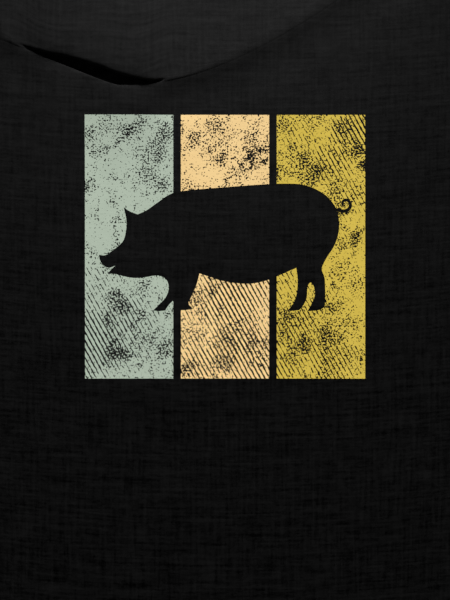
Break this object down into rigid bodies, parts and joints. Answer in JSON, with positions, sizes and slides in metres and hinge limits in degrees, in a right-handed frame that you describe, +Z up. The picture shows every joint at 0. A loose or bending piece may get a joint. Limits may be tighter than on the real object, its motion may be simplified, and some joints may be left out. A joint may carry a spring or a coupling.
{
  "type": "t-shirt",
  "caption": "Short-sleeved crew-neck T-shirt of black jersey, laid flat face up, with a chest print of upright bars and the open outline of a pig.",
  "frame": {"origin": "on the surface that the shirt lies on, under the middle of its bounding box", "axes": "+Y from the hem to the neck, +X to the wearer's left sleeve, +Z up out of the shirt's front"},
  "size_m": [0.8698, 0.7479, 0.0137],
  "materials": {
    "jersey": "matte cotton jersey, piece dyed black",
    "rib": "matte 1x1 cotton rib, black",
    "tape": "matte self-fabric tape, black",
    "label": "blank grey woven satin",
    "ink_sage": "matte screen-printing ink, sage",
    "ink_peach": "matte screen-printing ink, peach",
    "ink_mustard": "matte screen-printing ink, mustard"
  },
  "bodies": {
    "root": {"front_panel": "jersey", "back_panel": "jersey", "sleeve_left_front": "jersey", "sleeve_left_back": "jersey", "sleeve_right_front": "jersey", "sleeve_right_back": "jersey", "neckband_front": "rib", "neckband_back": "rib", "neck_tape": "tape", "neck_label": "label", "print_sage": "ink_sage", "print_peach_upper": "ink_peach", "print_peach_lower": "ink_peach", "print_mustard": "ink_mustard"}
  },
  "joints": []
}
